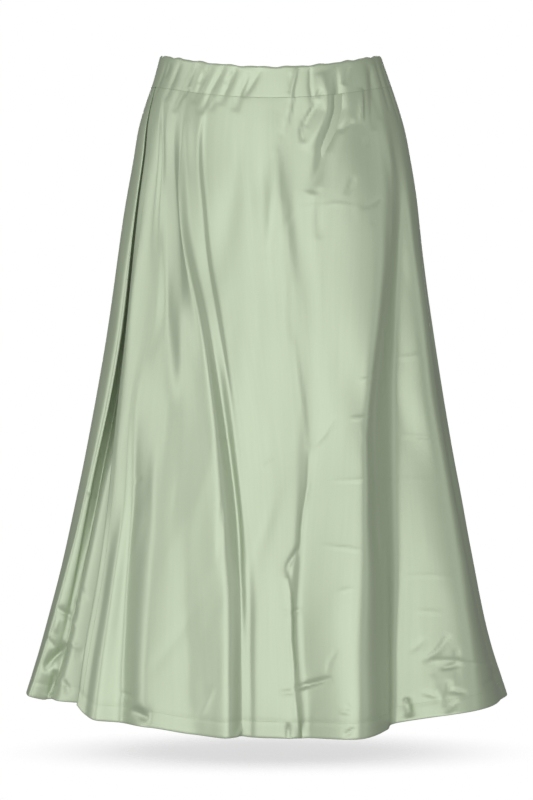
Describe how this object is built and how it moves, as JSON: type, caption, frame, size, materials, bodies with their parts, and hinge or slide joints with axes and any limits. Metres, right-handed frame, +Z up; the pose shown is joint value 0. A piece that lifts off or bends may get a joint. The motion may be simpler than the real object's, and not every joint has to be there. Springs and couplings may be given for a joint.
{
  "type": "wrap midi skirt",
  "caption": "Flared satin midi skirt, worn form, with an elastic waist casing, a front wrap panel over an under panel, and a hem that falls in soft folds.",
  "frame": {"origin": "the middle of the waist opening, level with its side edges", "axes": "+Z up, out of the waist; -Y the front; +X the side away from the wrap's free edge"},
  "size_m": [0.5764, 0.4149, 0.7974],
  "materials": {
    "satin": "satin sheen, sage green"
  },
  "bodies": {
    "root": {"waist_casing": "satin", "front_wrap_panel": "satin", "front_under_panel": "satin", "back_panel": "satin"}
  },
  "joints": []
}
